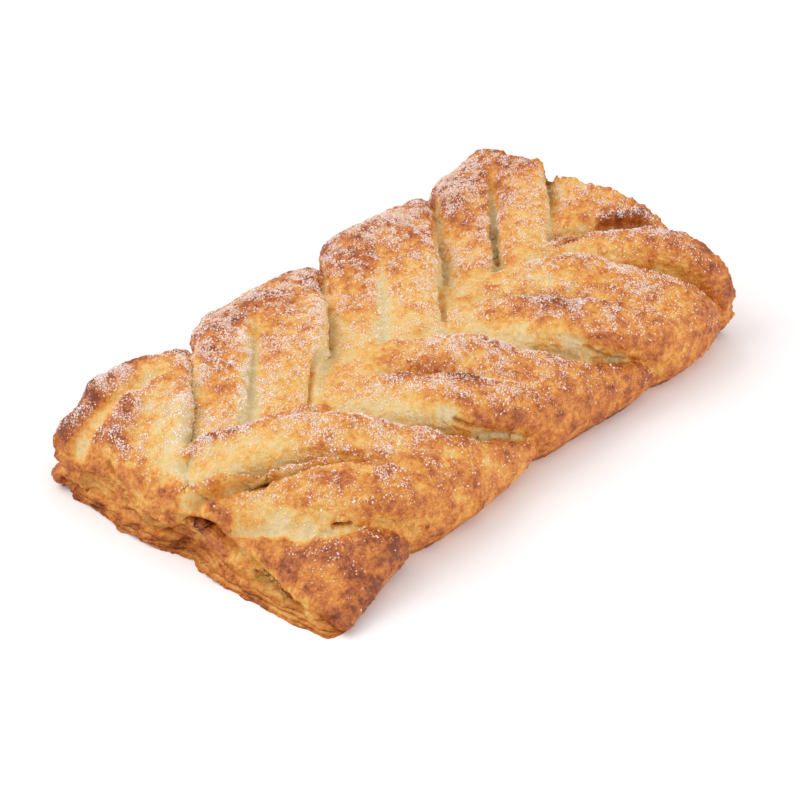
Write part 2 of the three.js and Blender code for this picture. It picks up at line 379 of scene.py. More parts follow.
def settledLoafTree():
    # a place in the plait's own frame, in millimetres, to the settled place in the shared frame, in metres
    tree = bpy.data.node_groups.new("settledLoaf", "GeometryNodeTree")
    tree.interface.new_socket("Place", in_out="INPUT", socket_type="NodeSocketVector")
    tree.interface.new_socket("Place", in_out="OUTPUT", socket_type="NodeSocketVector")
    add = partial(addNode, tree)
    at = add("separate", [add("NodeGroupInput")]).outputs
    masks = {}
    for zone, spans in settle["zones"].items():
        for axis, start, end in spans:
            step = add("smooth", [at[axis], start, end, 0, 1])
            masks[zone] = add("times", [masks.get(zone, 1), step])
    height = at["Z"]
    for zone, share in settle["rise"].items():
        grow = add("timesPlus", [masks[zone], share, 1])
        height = add("times", [height, grow])
    across = at["Y"]
    for zone, distance in settle["spread"].items():
        across = add("timesPlus", [masks[zone], distance, across])
    settled = add("combine", [at["X"], across, height])
    centred = add("vectorMinus", [settled, plait["middle"]])
    add("NodeGroupOutput", [add("scale", {0: centred, "Scale": mm})])
    return tree


def foldedStripTree(settledLoaf):
    # one strip: a block bent along its fold
    sizes = ("Side", "Cut", *plait["sides"][1], *plait["ownSizes"])
    tree, add, given = newGeometryTree("foldedStrip", Fold="Object", **dict.fromkeys(sizes, "Float"),
                                       Material="Material")
    strip = add("GeometryNodeMeshCube", plait["stripMesh"])
    at = add("separate", [add("position")]).outputs
    c = add("times", [at["X"], 2])  # -1 at the near edge, 1 at the far edge
    v = add("plus", [at["Y"], 0.5])  # 0 at the outer end, 1 at the tip
    up = add("plus", [at["Z"], 0.5])  # 0 underneath, 1 on the crust
    fold = add("object", {"Object": given["Fold"]})
    bend = add("GeometryNodeSampleCurve", {"Curves": fold.outputs["Geometry"], "Factor": v}, mode="FACTOR")
    spot = add("separate", [bend.outputs["Position"]]).outputs
    lean = add("separate", [bend.outputs["Tangent"]]).outputs
    reach = spot["X"]
    isRight = add("ShaderNodeMath", [given["Side"], 0], operation="LESS_THAN")

    # height of the crust over the fold line: a square-edged hump between the cuts, tilted
    halfStep = plait["pitch"] / 2
    start, end, least = plait["tiltCut"]
    tilt = add("timesPlus", [c, halfStep, given["Cut"]])
    tilt = add("smooth", [tilt, start, end, least * plait["tilt"], plait["tilt"]])
    turn, end = plait["tiltAlong"]
    tilt = add("smooth", [v, *turn, tilt, given["OuterTilt"]])
    tilt = add("smooth", [v, *end, tilt, 0])
    puff = add("smooth", [v, *plait["footAlong"], plait["foot"], 1])
    edge = add("absolute", [c])
    square = add("power", [edge, plait["edge"]])
    arch = add("minus", [1, square])
    arch = add("times", [arch, given["Hump"]])
    arch = add("timesPlus", [tilt, c, arch])
    drop = add("smooth", [c, *plait["dropAcross"], 0, given["NearDrop"]])
    drop = add("smooth", [v, *plait["dropAlong"], drop, 0])
    arch = add("minus", [arch, drop])
    arch = add("times", [arch, puff])

    # a slit parts it into two lobes, and each lobe's far edge stands over its near edge like a shingle
    nearLobe = add("range", [c, -1, given["SlitPlace"], 0, 1])
    farLobe = add("range", [c, given["SlitPlace"], 1, 0, 1])
    isFar = add("ShaderNodeMath", [c, given["SlitPlace"]], operation="GREATER_THAN")
    share = add("plus", [nearLobe, farLobe])
    share = add("minus", [share, isFar])
    opened = add("smooth", [reach, *plait["slitReach"], 1, 0])
    begun = add("minus", [reach, given["SlitFrom"]])
    opened = add("smooth", [begun, *plait["slitStart"], 0, opened])
    rise = add("minus", [share, 0.5])
    rise = add("times", [rise, given["Shingle"]])
    depth, power = plait["lobe"]
    bulge = add("timesPlus", [share, 2, -1])
    bulge = add("power", [bulge, power])
    rise = add("timesPlus", [bulge, -depth, rise])
    aside = add("minus", [c, given["SlitPlace"]])
    aside = add("times", [aside, given["Side"]])
    aside = add("over", [aside, given["SlitWidth"]])
    slope = add("smooth", [aside, *plait["slitSlope"], opened, 0])
    slit = add("smooth", [aside, *plait["slitStep"], slope, 0])
    height = add("timesPlus", [rise, opened, arch])
    sunk = add("times", [slit, given["SlitDepth"]])
    height = add("minus", [height, sunk])
    lift = add("range", [up, 0, 1, -plait["thick"], height])

    # along the plait: the strips lie on the slant, and the right ones sweep on at their outer ends
    halfFills = [halfStep * part for part in plait["fill"]]
    fill = add("smooth", [reach, *plait["fillReach"], *halfFills])
    start, middle, end, gap = plait["pocket"]
    pocket = add("smooth", [v, start, middle, 0, gap])
    pocket = add("smooth", [v, middle, end, pocket, 0])
    straight = add("timesPlus", [c, fill, given["Cut"]])
    pocket = add("smooth", [straight, *plait["pocketCut"], 0, pocket])
    pocket = add("times", [pocket, isRight])
    pocket = add("times", [c, pocket])
    straight = add("minus", [straight, pocket])
    slanted = add("plus", [straight, reach])
    outer = add("smooth", [v, *plait["sideAlong"], 0, 1])
    sweep = add("smooth", [slanted, *plait["sweepSpan"], *plait["sweep"]])
    most = plait["nearShift"]
    most = add("smooth", [reach, *plait["shiftReach"], most, most / 2])
    shift = add("smooth", [straight, *plait["shiftCut"], 0, most])
    rightSlide = add("range", [outer, 0, 1, shift, sweep])
    left = plait["leftLean"]
    leftSlide = add("range", [straight, *left["span"], *left["outer"]])
    leftSlide = add("range", [reach, *left["reach"], leftSlide, left["tip"]])
    slide = add("range", [isRight, 0, 1, leftSlide, rightSlide])
    x = add("plus", [slide, slanted])
    cutLine = add("combine", [slanted, reach, given["Side"]])
    x = addPatches(add, cutLine, [plait["waver"]], x)
    y = add("timesPlus", [lean["Y"], lift, reach])
    belly = add("times", [c, c])
    belly = add("range", [belly, 0, 1, plait["belly"], 0])
    y = add("timesPlus", [belly, outer, y])
    y = add("times", [y, given["Side"]])
    drop = add("times", [lean["X"], lift])
    z = add("minus", [spot["Y"], drop])
    z = add("atLeast", [z, plait["under"]])

    # the cut ends round off above the nose and are bitten unevenly
    nose, power, back = plait["nose"]
    over = add("minus", [z, nose])
    over = add("atLeast", [over, 0])
    over = add("power", [over, power])
    recess = add("times", [over, back])
    size, depth = plait["ragged"]
    cutEnd = add("combine", [0, y, z])
    bite = add("noise", {"Vector": cutEnd, "Scale": 1 / size, "Detail": 2.0})
    recess = add("timesPlus", [bite, depth, recess])
    limit = add("minus", [plait["length"] / 2 - plait["endInset"], recess])
    x = add("ShaderNodeMath", [x, limit], operation="MINIMUM")
    limit = add("times", [limit, -1])
    x = add("atLeast", [x, limit])

    # how brown: by reach, and more on a lobe's far edge
    crest = add("smooth", [share, *plait["crestSpan"], 0, 1])
    crest = add("times", [crest, opened])
    ends = given["TipBake"], given["ShoulderBake"]
    bake = add("smooth", [reach, *plait["bakeReach"], *ends])
    bake = add("timesPlus", [crest, given["CrestBake"], bake])
    # the edge that tucks under its neighbour stays pale: both edges on the left, the near one on the right
    nearEdge = add("times", [c, -1])
    tucked = add("range", [isRight, 0, 1, edge, nearEdge])
    span = given["PaleFrom"], given["PaleTo"]
    tucked = add("smooth", [tucked, *span, 0, given["PaleEdge"]])
    shaded = add("smooth", [reach, *plait["shadeReach"], tucked, 0])
    bake = add("minus", [bake, shaded])
    shaded = add("times", [slit, given["SlitPale"]])
    bake = add("minus", [bake, shaded])
    # the cut walls and ends have their own browning
    inner, outside = plait["wallAcross"]
    top = add("range", [edge, outside, inner, 0, up])
    shoulder = add("range", [isRight, 0, 1, plait["leftWall"], 0])
    shoulder = add("minus", [v, shoulder])
    wall = add("range", [shoulder, *plait["wallAlong"], given["Wall"], given["ShoulderBake"]])
    wall = add("range", [edge, inner, outside, plait["end"], wall])
    bake = add("range", [top, 0, 1, wall, bake])

    # how sugared: the same way, less low on the right strips and at their near edges, none on the walls
    ends = given["TipSweet"], given["ShoulderSweet"]
    sweet = add("smooth", [reach, *plait["sweetReach"], *ends])
    sweet = add("timesPlus", [crest, given["CrestSweet"], sweet])
    for where, span in ((reach, "bare"), (c, "clean")):
        start, end, most = plait[span]
        bare = add("smooth", [where, start, end, 0, most])
        bare = add("times", [bare, isRight])
        rest = add("minus", [1, bare])
        sweet = add("times", [sweet, rest])
    sweet = add("times", [sweet, top])

    for name, value in (("bake", bake), ("sweet", sweet)):
        strip = add("store", {"Geometry": strip, "Name": name, "Value": value})
    endSettled(add, given, settledLoaf, strip, add("combine", [x, y, z]))
    return tree


def filledCoreTree(settledLoaf):
    # the room under the two folds: a block whose top follows the roof line, from one cut end to the other
    tree, add, given = newGeometryTree("filledCore", Roof="Object", Material="Material")
    core = add("GeometryNodeMeshCube", plait["coreMesh"])
    at = add("separate", [add("position")]).outputs
    t = add("plus", [at["Y"], 0.5])
    up = add("plus", [at["Z"], 0.5])
    roof = add("object", {"Object": given["Roof"]})
    line = add("GeometryNodeSampleCurve", {"Curves": roof.outputs["Geometry"], "Factor": t}, mode="FACTOR")
    spot = add("separate", [line.outputs["Position"]]).outputs
    z = add("range", [up, 0, 1, plait["coreFloor"], spot["Y"]])
    lip = plait["lip"]
    isNear = add("ShaderNodeMath", [at["X"], 0], operation="LESS_THAN")
    out = add("smooth", [spot["X"], *lip["across"], *lip["nearOut"]])
    out = add("range", [isNear, 0, 1, lip["out"], out])
    half = add("range", [z, *lip["height"], 0, out])
    half = add("timesPlus", [plait["coreSpan"], 0.5, half])
    size, depth = plait["ragged"]
    cutEnd = add("combine", [7, spot["X"], z])  # away from the strips' bites
    bite = add("noise", {"Vector": cutEnd, "Scale": 1 / size, "Detail": 2.0})
    half = add("timesPlus", [bite, -depth, half])
    x = add("times", [at["X"], 2])
    x = add("times", [x, half])
    core = add("store", {"Geometry": core, "Name": "bake", "Value": lip["bake"]})
    endSettled(add, given, settledLoaf, core, add("combine", [x, spot["X"], z]))
    return tree


def cornerKnobTree(settledLoaf):
    # the browned knob of dough that stands out at a corner of the base
    tree, add, given = newGeometryTree("cornerKnob", Place="Vector", Size="Vector", Bake="Float",
                                       Material="Material")
    knob = add("GeometryNodeMeshIcoSphere", {"Radius": 1.0, "Subdivisions": 4}).outputs["Mesh"]
    at = add("position")
    at = add("ShaderNodeVectorMath", [at, given["Size"], given["Place"]], operation="MULTIPLY_ADD")
    knob = add("store", {"Geometry": knob, "Name": "bake", "Value": given["Bake"]})
    endSettled(add, given, settledLoaf, knob, at)
    return tree


def buildShell(settledLoaf, finish):
    # the strips, the core and the knobs as closed blocks, still overlapping
    folds = {side: catmullRom(points) for side, points in plait["fold"].items()}
    guides = {side: guideCurve(f"fold{side}", points) for side, points in folds.items()}
    stripTree = foldedStripTree(settledLoaf)
    blocks = []
    for side, turn, browner, *own in plait["strips"]:
        sizes = {**plait["sides"][side], **dict(zip(plait["ownSizes"], own))}
        sizes["TipBake"] += browner
        sizes["ShoulderBake"] += browner
        sizes["Cut"] = plait["cut"][side] + (turn + 0.5) * plait["pitch"]
        strip = newObject("strip")
        runTree(strip, stripTree, Fold=guides[side], Side=side, **sizes, Material=finish)
        blocks.append(bakeMesh(strip))

    roof = []
    inset = plait["thick"] / 2
    for side in (-1, 1):
        half = []
        points = folds[side]
        for before, point, after in zip(points, points[1:], points[2:]):
            along = (after - before).normalized()
            spot = (side * (point.x - along.y * inset), point.y + along.x * inset)
            if side * spot[0] > 1 and spot[1] > 1:
                half.append(spot)
        roof += half if side < 0 else half[::-1]
    roofLine = guideCurve("roof", roof)
    core = newObject("core")
    runTree(core, filledCoreTree(settledLoaf), Roof=roofLine, Material=finish)
    blocks.append(bakeMesh(core))
    knobTree = cornerKnobTree(settledLoaf)
    for place, size, bake in plait["knobs"]:
        knob = newObject("knob")
        runTree(knob, knobTree, Place=place, Size=size, Bake=bake, Material=finish)
        blocks.append(bakeMesh(knob))
    for guide in (*guides.values(), roofLine):
        bpy.data.objects.remove(guide)
    return joinObjects("bakedPlait", blocks)


puffPastry = bakedPuffPastry()
settledLoaf = settledLoafTree()
pastry = buildShell(settledLoaf, puffPastry)
print("strips, core and knobs:", len(pastry.data.polygons), "faces")

crust = {
    "voxel": 0.5 * mm,
    "sole": 1.0 * mm,  # what is lower than this is pressed flat on to the floor's height
    "floor": 0.1 * mm,
    "most": 192000,  # triangles to keep
    "sliver": 0.03 * mm,  # points of the strips that are nearer than this count as one
    "even": 1,  # rounds of smoothing: the voxels' steps, the surface round a point, the strips' tones
    "around": 70,
    "soften": 5,
    "steep": (0.6, 0.2),  # how far up or down a steep face looks, from and to
    "upward": (-0.7, -0.4),  # a face that looks down further than this has no relief
    "bumps": ((13, 2.4), (4.5, 1.7), (1.5, 1.3)),  # swellings, lumps and grain: size and depth in mm
    # flaky layers on the cut walls and on the plait's ends: size along, along, up, and depth
    "layers": ((6, 6, 0.9), 0.8),
    "strata": ((16, 16, 1.3), 4.0),
    "strataTop": (11, 8),
    # what browns the crust further: standing proud by so many mm, patches of so many mm, the ends from
    # this x on and their lip, the far end's face, and the layers at the ends
    "browning": {"proud": (-0.6, 0.8, 0.32), "patches": ((8, 0.6), (3.2, 0.6)), "ends": (69.5, 72.5),
                 "endHeight": (10, 5), "lipHeight": (9, 6), "lipSide": (-3, 5), "farFrom": (67, 69),
                 "farFace": (3, 24, 0.62, 0.5), "strata": 0.8},
    # sugar: less in the grooves, none on steep faces, a light sprinkle all over, and in clumps, whose
    # pattern is shifted away from the browning's
    "sugared": {"proud": (-0.5, 0.35, 0.16), "level": (0.0, 0.6), "sprinkle": 0.006,
                "clumps": ((9, 0.34, 0.56), (2, 0.43, 0.57)), "shift": (91, 17, 5)},
}

# folds, cracks and holes of this one pastry. Half width in millimetres, share of it that is flat, depth
# (less than 0 stands up), browning added (painted shade in the darkened wedge, lines, rim, hole and cracks),
# share of the sugar it takes, how much each axis counts, and lines picked on the photo, in pixels of its
# frame
onTop, onSide, onNearEnd, allRound = (1, 1, 0.2), (1, 1, 0.7), (0.4, 1, 1), (1, 1, 1)
creaseFields = ("width", "flat", "depth", "bake", "dry", "axes")
creases = {
    "valley": (4, 0.1, 1.5, -0.24, 0.7, onTop, [(79, 440), (92, 421), (108, 399), (134, 378), (152, 365)]),
    "pale": (8, 0.1, 0.7, -0.2, 0.2, onTop, [(156, 361), (159, 398), (164, 437)]),
    "ridge": (3.6, 0, -1.2, 0.05, -0.2, onTop,
        [(132, 400), (118, 430), (123, 469), (152, 496), (170, 509)]),
    "golden": (5, 0.1, 0, 0.15, 0.7, onTop,
        [(208, 517), (222, 522), (236, 526)],
        [(300, 480), (320, 472), (340, 474)],
        [(398, 374), (432, 369), (478, 383)],
        [(487, 320), (520, 308), (560, 305)]),
    "smooth": (4.2, 0.3, -0.9, -0.15, 1, onTop, [(197, 481), (240, 463), (285, 449)]),
    "band": (3.8, 0.2, 0.4, -0.22, 0.75, onTop,
        [(345, 410), (375, 410), (430, 411), (450, 415)],
        [(480, 332), (530, 337), (572, 347)]),
    "seam": (4.2, 0.1, 0.3, -0.24, -0.2, onTop, [(240, 540), (265, 533), (350, 525)]),
    # the slit's dark wedge: a deep groove, browned further as painted shade
    "wedge": (2.2, 0.1, 4, 0.2, 1, onTop, [(195, 497), (218, 491), (240, 483), (262, 479)]),
    # dark lines along strip edges and slits: narrow grooves, browned further as painted shade
    "line": (1.0, 0, 1.8, 0.2, 1, onTop,
        [(262, 479), (280, 475), (320, 462), (345, 459)],
        [(557, 245), (575, 238), (600, 228), (640, 224)],
        [(492, 232), (494, 248), (496, 266)],
        [(434, 225), (438, 250), (441, 278), (445, 320)],
        [(318, 355), (314, 372), (311, 403)]),
    "pocket": (2.8, 0.3, 0.7, -0.26, 1, onSide,
        [(446, 414), (514, 436)],
        [(570, 345), (602, 352), (628, 363)]),
    # the dark line at the foot of each pocket: a groove, browned further as painted shade
    "rim": (1.1, 0.1, 2, 0.4, 1, allRound,
        [(456, 421), (474, 429), (514, 441)],
        [(586, 350), (602, 356), (618, 364)]),
    "frosted": (4.5, 0.2, 0, 0.16, -1.4, onTop, [(72, 418), (102, 389), (146, 362)]),
    "swollen": (5, 0.2, -2.3, 0, 0, onTop, [(102, 389), (152, 361)]),
    "crest": (2.8, 0.2, -0.5, 0.28, -1.6, onTop,
        [(183, 455), (200, 445), (225, 433), (290, 415), (325, 412)],
        [(604, 226), (622, 222), (645, 224)]),
    "crown": (5, 0.2, 0, 0.06, -0.5, onTop,
        [(205, 330), (228, 312), (255, 298), (285, 286)],
        [(328, 252), (378, 220), (405, 213)],
        [(440, 182), (462, 168), (490, 160)]),
    "fill": (3.2, 0.2, -1.3, -0.05, -0.3, onTop, [(187, 362), (183, 460)], [(319, 300), (319, 347)]),
    # the dark hole in the seam: a small pit, browned to the darkest tone as painted shade
    "hole": (0.75, 0.3, 1.6, 1.0, 1, allRound, [(333, 527), (350, 525)]),
    "plain": (12, 0.4, 0, -0.02, 0.85, onTop, [(270, 560), (340, 575)]),
    "mouth": (2.2, 0.3, 3.6, 0.1, 1, onNearEnd, [(187, 524), (202, 527), (213, 532)]),
    "under": (1.5, 0, 2.4, 0, 1, onNearEnd, [(213, 532), (222, 539), (235, 551), (262, 575), (300, 605)]),
    # dark gaps between the layers at the near end: grooves, browned further as painted shade
    "crack": (1.0, 0, 2.6, 0.25, 1, onNearEnd,
        [(108, 463), (115, 477), (128, 488)],
        [(64, 479), (92, 496), (120, 511)]),
    "lens": (1.5, 0.4, 3, -0.2, 1, onNearEnd, [(133, 514), (162, 525), (170, 528)]),
    "amber": (1.8, 0.3, 0, 0.14, 1, onNearEnd,
        [(200, 545), (212, 553)],
        [(228, 566), (240, 576)],
        [(96, 402), (100, 403)]),
    "slitSugar": (2, 0.4, -0.4, -0.14, -1.6, onTop, [(247, 322), (245, 340), (241, 400)]),
    "rimPale": (1.7, 0.3, 0, -0.26, 0.2, onTop,
        [(282, 474), (305, 468), (330, 465), (352, 465), (368, 469)]),
    "tucked": (4, 0.3, 0.2, -0.14, 0.8, onTop, [(329, 285), (328, 318), (334, 328), (345, 334)]),
}
for kind, row in creases.items():
    creases[kind] = dict(zip(creaseFields, row), lines=row[len(creaseFields):])


def castOn(shell, pixel):
    # the place, in millimetres, where the photo's camera sees a pixel on the shell
    across, down = (share / view["pixels"] - 0.5 for share in pixel)
    spread = view["sensor"] / view["lens"]
    ray = viewTurn @ Vector((across * spread, -down * spread, -1))
    return shell.ray_cast(Vector(view["place"]) * mm, ray)[0] / mm


def creaseGuide(kind, shell):
    # the lines of one kind as bare edges, stretched so that distance counts on its own axes
    points, edges = [], []
    for line in creases[kind]["lines"]:
        edges += [(len(points) + i, len(points) + i + 1) for i in range(len(line) - 1)]
        points += [castOn(shell, pixel) * Vector(creases[kind]["axes"]) for pixel in line]
    mesh = bpy.data.meshes.new(kind)
    mesh.from_pydata(points, edges, [])
    return newObject(kind, mesh)


def creaseStep(add, guide, here, crease):
    # 1 on the lines and over their flat share, falling to 0 at their half width
    lines = add("object", {"Object": guide}).outputs["Geometry"]
    at = add("vectorTimes", [here, crease["axes"]])
    near = add("GeometryNodeProximity", {"Geometry": lines, "Sample Position": at}, target_element="EDGES")
    width = crease["width"]
    return add("smooth", [near.outputs["Distance"], width, crease["flat"] * width, 0, 1])


def crustTree():
    # the crust's relief, how brown each point is, with painted shade in the darkened creases ("toast"), and
    # how sugared
    guides = dict.fromkeys(("Strips", *creases), "Object")
    tree, add, given = newGeometryTree("crust", **guides, Material="Material")
    place = {"Value": add("position"), "Iterations": crust["even"]}
    even = add("GeometryNodeBlurAttribute", place, data_type="FLOAT_VECTOR")
    shell = add("GeometryNodeSetPosition", {"Geometry": given["Geometry"], "Position": even})

    # patterns and creases keep to the place a point had before it was pushed in or out
    here = add("scale", {0: add("position"), "Scale": 1 / mm})
    shell = add("store", {"Geometry": shell, "Name": "unbaked", "Value": here}, data_type="FLOAT_VECTOR")
    here = add("stored", {"Name": "unbaked"}, data_type="FLOAT_VECTOR")
    normal = add("GeometryNodeInputNormal")
    facing = add("separate", [normal]).outputs["Z"]
    browning = crust["browning"]
    relief = addPatches(add, here, crust["bumps"], 0)
    at = add("separate", [here]).outputs
    along = add("absolute", [at["X"]])
    atEnd = add("range", [along, *browning["ends"], 0, 1])
    steep = add("absolute", [facing])
    steep = add("smooth", [steep, *crust["steep"], 0, 1])
    endWall = add("smooth", [at["Z"], *crust["strataTop"], 0, atEnd])
    endWall = add("times", [endWall, steep])
    for kind, share in (("layers", steep), ("strata", endWall)):
        sizes, depth = crust[kind]
        thin = add("vectorTimes", [here, tuple(1 / size for size in sizes)])
        layer = add("noise", {"Vector": thin, "Scale": 1.0, "Detail": 1.0})
        layer = add("minus", [layer, 0.5])
        layer = add("times", [layer, share])
        relief = add("timesPlus", [layer, depth, relief])
    lines = {kind: creaseStep(add, given[kind], here, crease) for kind, crease in creases.items()}
    for kind, crease in creases.items():
        relief = add("timesPlus", [lines[kind], -crease["depth"], relief])
    upward = add("smooth", [facing, *crust["upward"], 0, 1])
    relief = add("times", [relief, upward])
    push = add("times", [relief, mm])
    push = add("scale", {0: normal, "Scale": push})
    shell = add("GeometryNodeSetPosition", {"Geometry": shell, "Offset": push})

    # how far a point stands out of the surface round it: ridges brown first, grooves stay pale
    position = add("position")
    place = {"Value": position, "Iterations": crust["around"]}
    around = add("GeometryNodeBlurAttribute", place, data_type="FLOAT_VECTOR")
    proud = add("vectorMinus", [position, around])
    proud = add("ShaderNodeVectorMath", [proud, add("GeometryNodeInputNormal")], operation="DOT_PRODUCT")
    proud = add("times", [proud.outputs["Value"], 1 / mm])

    # what the strips say
    strips = add("object", {"Object": given["Strips"]}).outputs["Geometry"]
    strips = add("GeometryNodeMergeByDistance", {"Geometry": strips, "Distance": crust["sliver"]})
    told = []
    for name in ("bake", "sweet"):
        value = add("stored", {"Name": name})
        value = add("GeometryNodeSampleNearestSurface", {"Mesh": strips, "Value": value})
        told.append(add("GeometryNodeBlurAttribute", {"Value": value, "Iterations": crust["soften"]}))
    toast, sugared = told

    # browning of the ends, of the creases (painted shade where they stand for dark gaps), of what stands
    # proud and in patches
    ends = add("range", [at["Z"], *browning["endHeight"], plait["end"], plait["lip"]["bake"]])
    ends = add("times", [ends, atEnd])
    lip = add("smooth", [at["Z"], *browning["lipHeight"], 0, ends])
    ends = add("smooth", [at["Y"], *browning["lipSide"], lip, ends])
    toast = add("atLeast", [toast, ends])
    farFace = add("smooth", [at["X"], *browning["farFrom"], 0, steep])
    farTone = add("range", [at["Z"], *browning["farFace"]])
    toast = add("range", [farFace, 0, 1, toast, farTone])
    toast = add("timesPlus", [layer, -browning["strata"], toast])
    for kind, crease in creases.items():
        toast = add("timesPlus", [lines[kind], crease["bake"], toast])
        wet = add("timesPlus", [lines[kind], -crease["dry"], 1])
        sugared = add("times", [sugared, wet])
    start, end, share = browning["proud"]
    ridge = add("range", [proud, start, end, -share / 2, share / 2])
    toast = add("plus", [toast, ridge])
    toast = addPatches(add, here, browning["patches"], toast)

    # sugar in clumps, on ridges and on what is level
    lies = crust["sugared"]
    aside = add("vectorPlus", [here, lies["shift"]])
    for size, *edges in lies["clumps"]:
        pattern = {"Vector": aside, "Scale": 1 / size, "Detail": 2.5, "Roughness": 0.6}
        clump = add("smooth", [add("noise", pattern), *edges, 0, 1])
        sugared = add("times", [sugared, clump])
    *edges, least = lies["proud"]
    ridge = add("smooth", [proud, *edges, least, 1])
    sugared = add("times", [sugared, ridge])
    sugared = add("plus", [sugared, lies["sprinkle"]])
    level = add("separate", [add("GeometryNodeInputNormal")]).outputs["Z"]
    level = add("smooth", [level, *lies["level"], 0, 1])
    level = add("range", [along, *browning["ends"], level, 0])
    sugared = add("times", [sugared, level])
    for name, value in (("toast", toast), ("sugared", sugared)):
        shell = add("store", {"Geometry": shell, "Name": name, "Value": value})
    endTree(add, given, add("GeometryNodeRemoveAttribute", {"Geometry": shell, "Name": "unbaked"}))
    return tree


def sampledTree():
    # a lighter mesh takes the browning, with its painted shade, and the sugar of the dense one
    tree, add, given = newGeometryTree("sampledCrust", Dense="Object", Material="Material")
    dense = add("object", {"Object": given["Dense"]}).outputs["Geometry"]
    shell = given["Geometry"]
    for name in ("toast", "sugared"):
        value = add("stored", {"Name": name})
        value = add("GeometryNodeSampleNearestSurface", {"Mesh": dense, "Value": value})
        shell = add("store", {"Geometry": shell, "Name": name, "Value": value})
    endTree(add, given, shell)
    return tree


def trimShell(obj):
    # the uneven underside is pressed flat, and what hangs loose goes
    shell = bmesh.new()
    shell.from_mesh(obj.data)
    for vert in shell.verts:
        if vert.co.z < crust["sole"]:
            vert.co.z = crust["floor"]
    bodies = []
    loose = set(shell.verts)
    while loose:
        body, front = set(), [loose.pop()]
        while front:
            vert = front.pop()
            body.add(vert)
            near = {edge.other_vert(vert) for edge in vert.link_edges} & loose
            loose -= near
            front += near
        bodies.append(body)
    kept = max(bodies, key=len)
    bmesh.ops.delete(shell, geom=[vert for vert in shell.verts if vert not in kept], context="VERTS")
    shell.to_mesh(obj.data)
    shell.free()


stripGuide = newObject("stripGuide", pastry.data.copy())
corners = [vert.co for vert in stripGuide.data.vertices]
shell = BVHTree.FromPolygons(corners, [face.vertices for face in stripGuide.data.polygons])
guides = {kind: creaseGuide(kind, shell) for kind in creases}
remesh = pastry.modifiers.new("onePiece", "REMESH")
remesh.mode = "VOXEL"
remesh.voxel_size = crust["voxel"]
remesh.use_smooth_shade = True
runTree(pastry, crustTree(), Strips=stripGuide, **guides, Material=puffPastry)
bakeMesh(pastry)
for used in (stripGuide, *guides.values()):
    bpy.data.objects.remove(used)
trimShell(pastry)
print("pastry:", countTriangles(pastry), "triangles")
if countTriangles(pastry) > crust["most"]:
    dense = newObject("dense", pastry.data.copy())
    lighter = pastry.modifiers.new("lighter", "DECIMATE")
    lighter.ratio = crust["most"] / countTriangles(pastry)
    runTree(pastry, sampledTree(), Dense=dense, Material=puffPastry)
    bakeMesh(pastry)
    bpy.data.objects.remove(dense)
    print("pastry, lighter:", countTriangles(pastry), "triangles")

leaves = {
    # height of each leaf's middle, thickness, how far it stays back from the base's end, left and right
    "stack": [(0.3, 0.5, 0.3, 0.3), (0.95, 0.45, 0, 0.6), (1.7, 0.4, 0.6, 1.6), (2.5, 0.5, 0.3, 3),
              (3.3, 0.4, 1.2, 5), (4.2, 0.5, 1.0, 6)],
    "mesh": {"Vertices": 720, "Side Segments": 1, "Fill Segments": 6, "Radius": 1.0, "Depth": 1.0},
    "halfWidth": 33.5,
    "taper": 0.25,  # how much narrower a leaf is for each millimetre of its height
    "round": 0.1,  # how round the outline's corners are
    "inset": (24, 1.7),  # the rings lie back by this, with a power of their distance from the rim
    "rim": (0.35, 1),
    "backSpan": (0.1, -0.05),  # from the left's stand-back to the right's
    "aside": 2.2,
    "corners": [(20, 34, 2), (-14, -31, -6.5)],  # the near end's corners reach aside
    "cornerSpan": (-55, -76),
    # slide of the near edge, from left to right: where across it starts, is reached, and how far it is
    "bow": [(26, 16, -1.8), (9, 0, 0.4), (-2, -14, -2.6), (-27, -38, -1.4)],
    "bowSpan": (-50, -72),
    "ragged": ((14, 5), (3.5, 2.6), (1.2, 1.2)),  # size and depth of the edge's bites
    "sideways": 0.4,  # share of them that the sides have
    "curl": ((12, 3), (3, 0.9)),
    "shift": (3, 7, 5),  # the curl's noise lies apart from that of the bites,
    "apart": 41,  # and each leaf's apart from the others'
    "seed": 7,
}


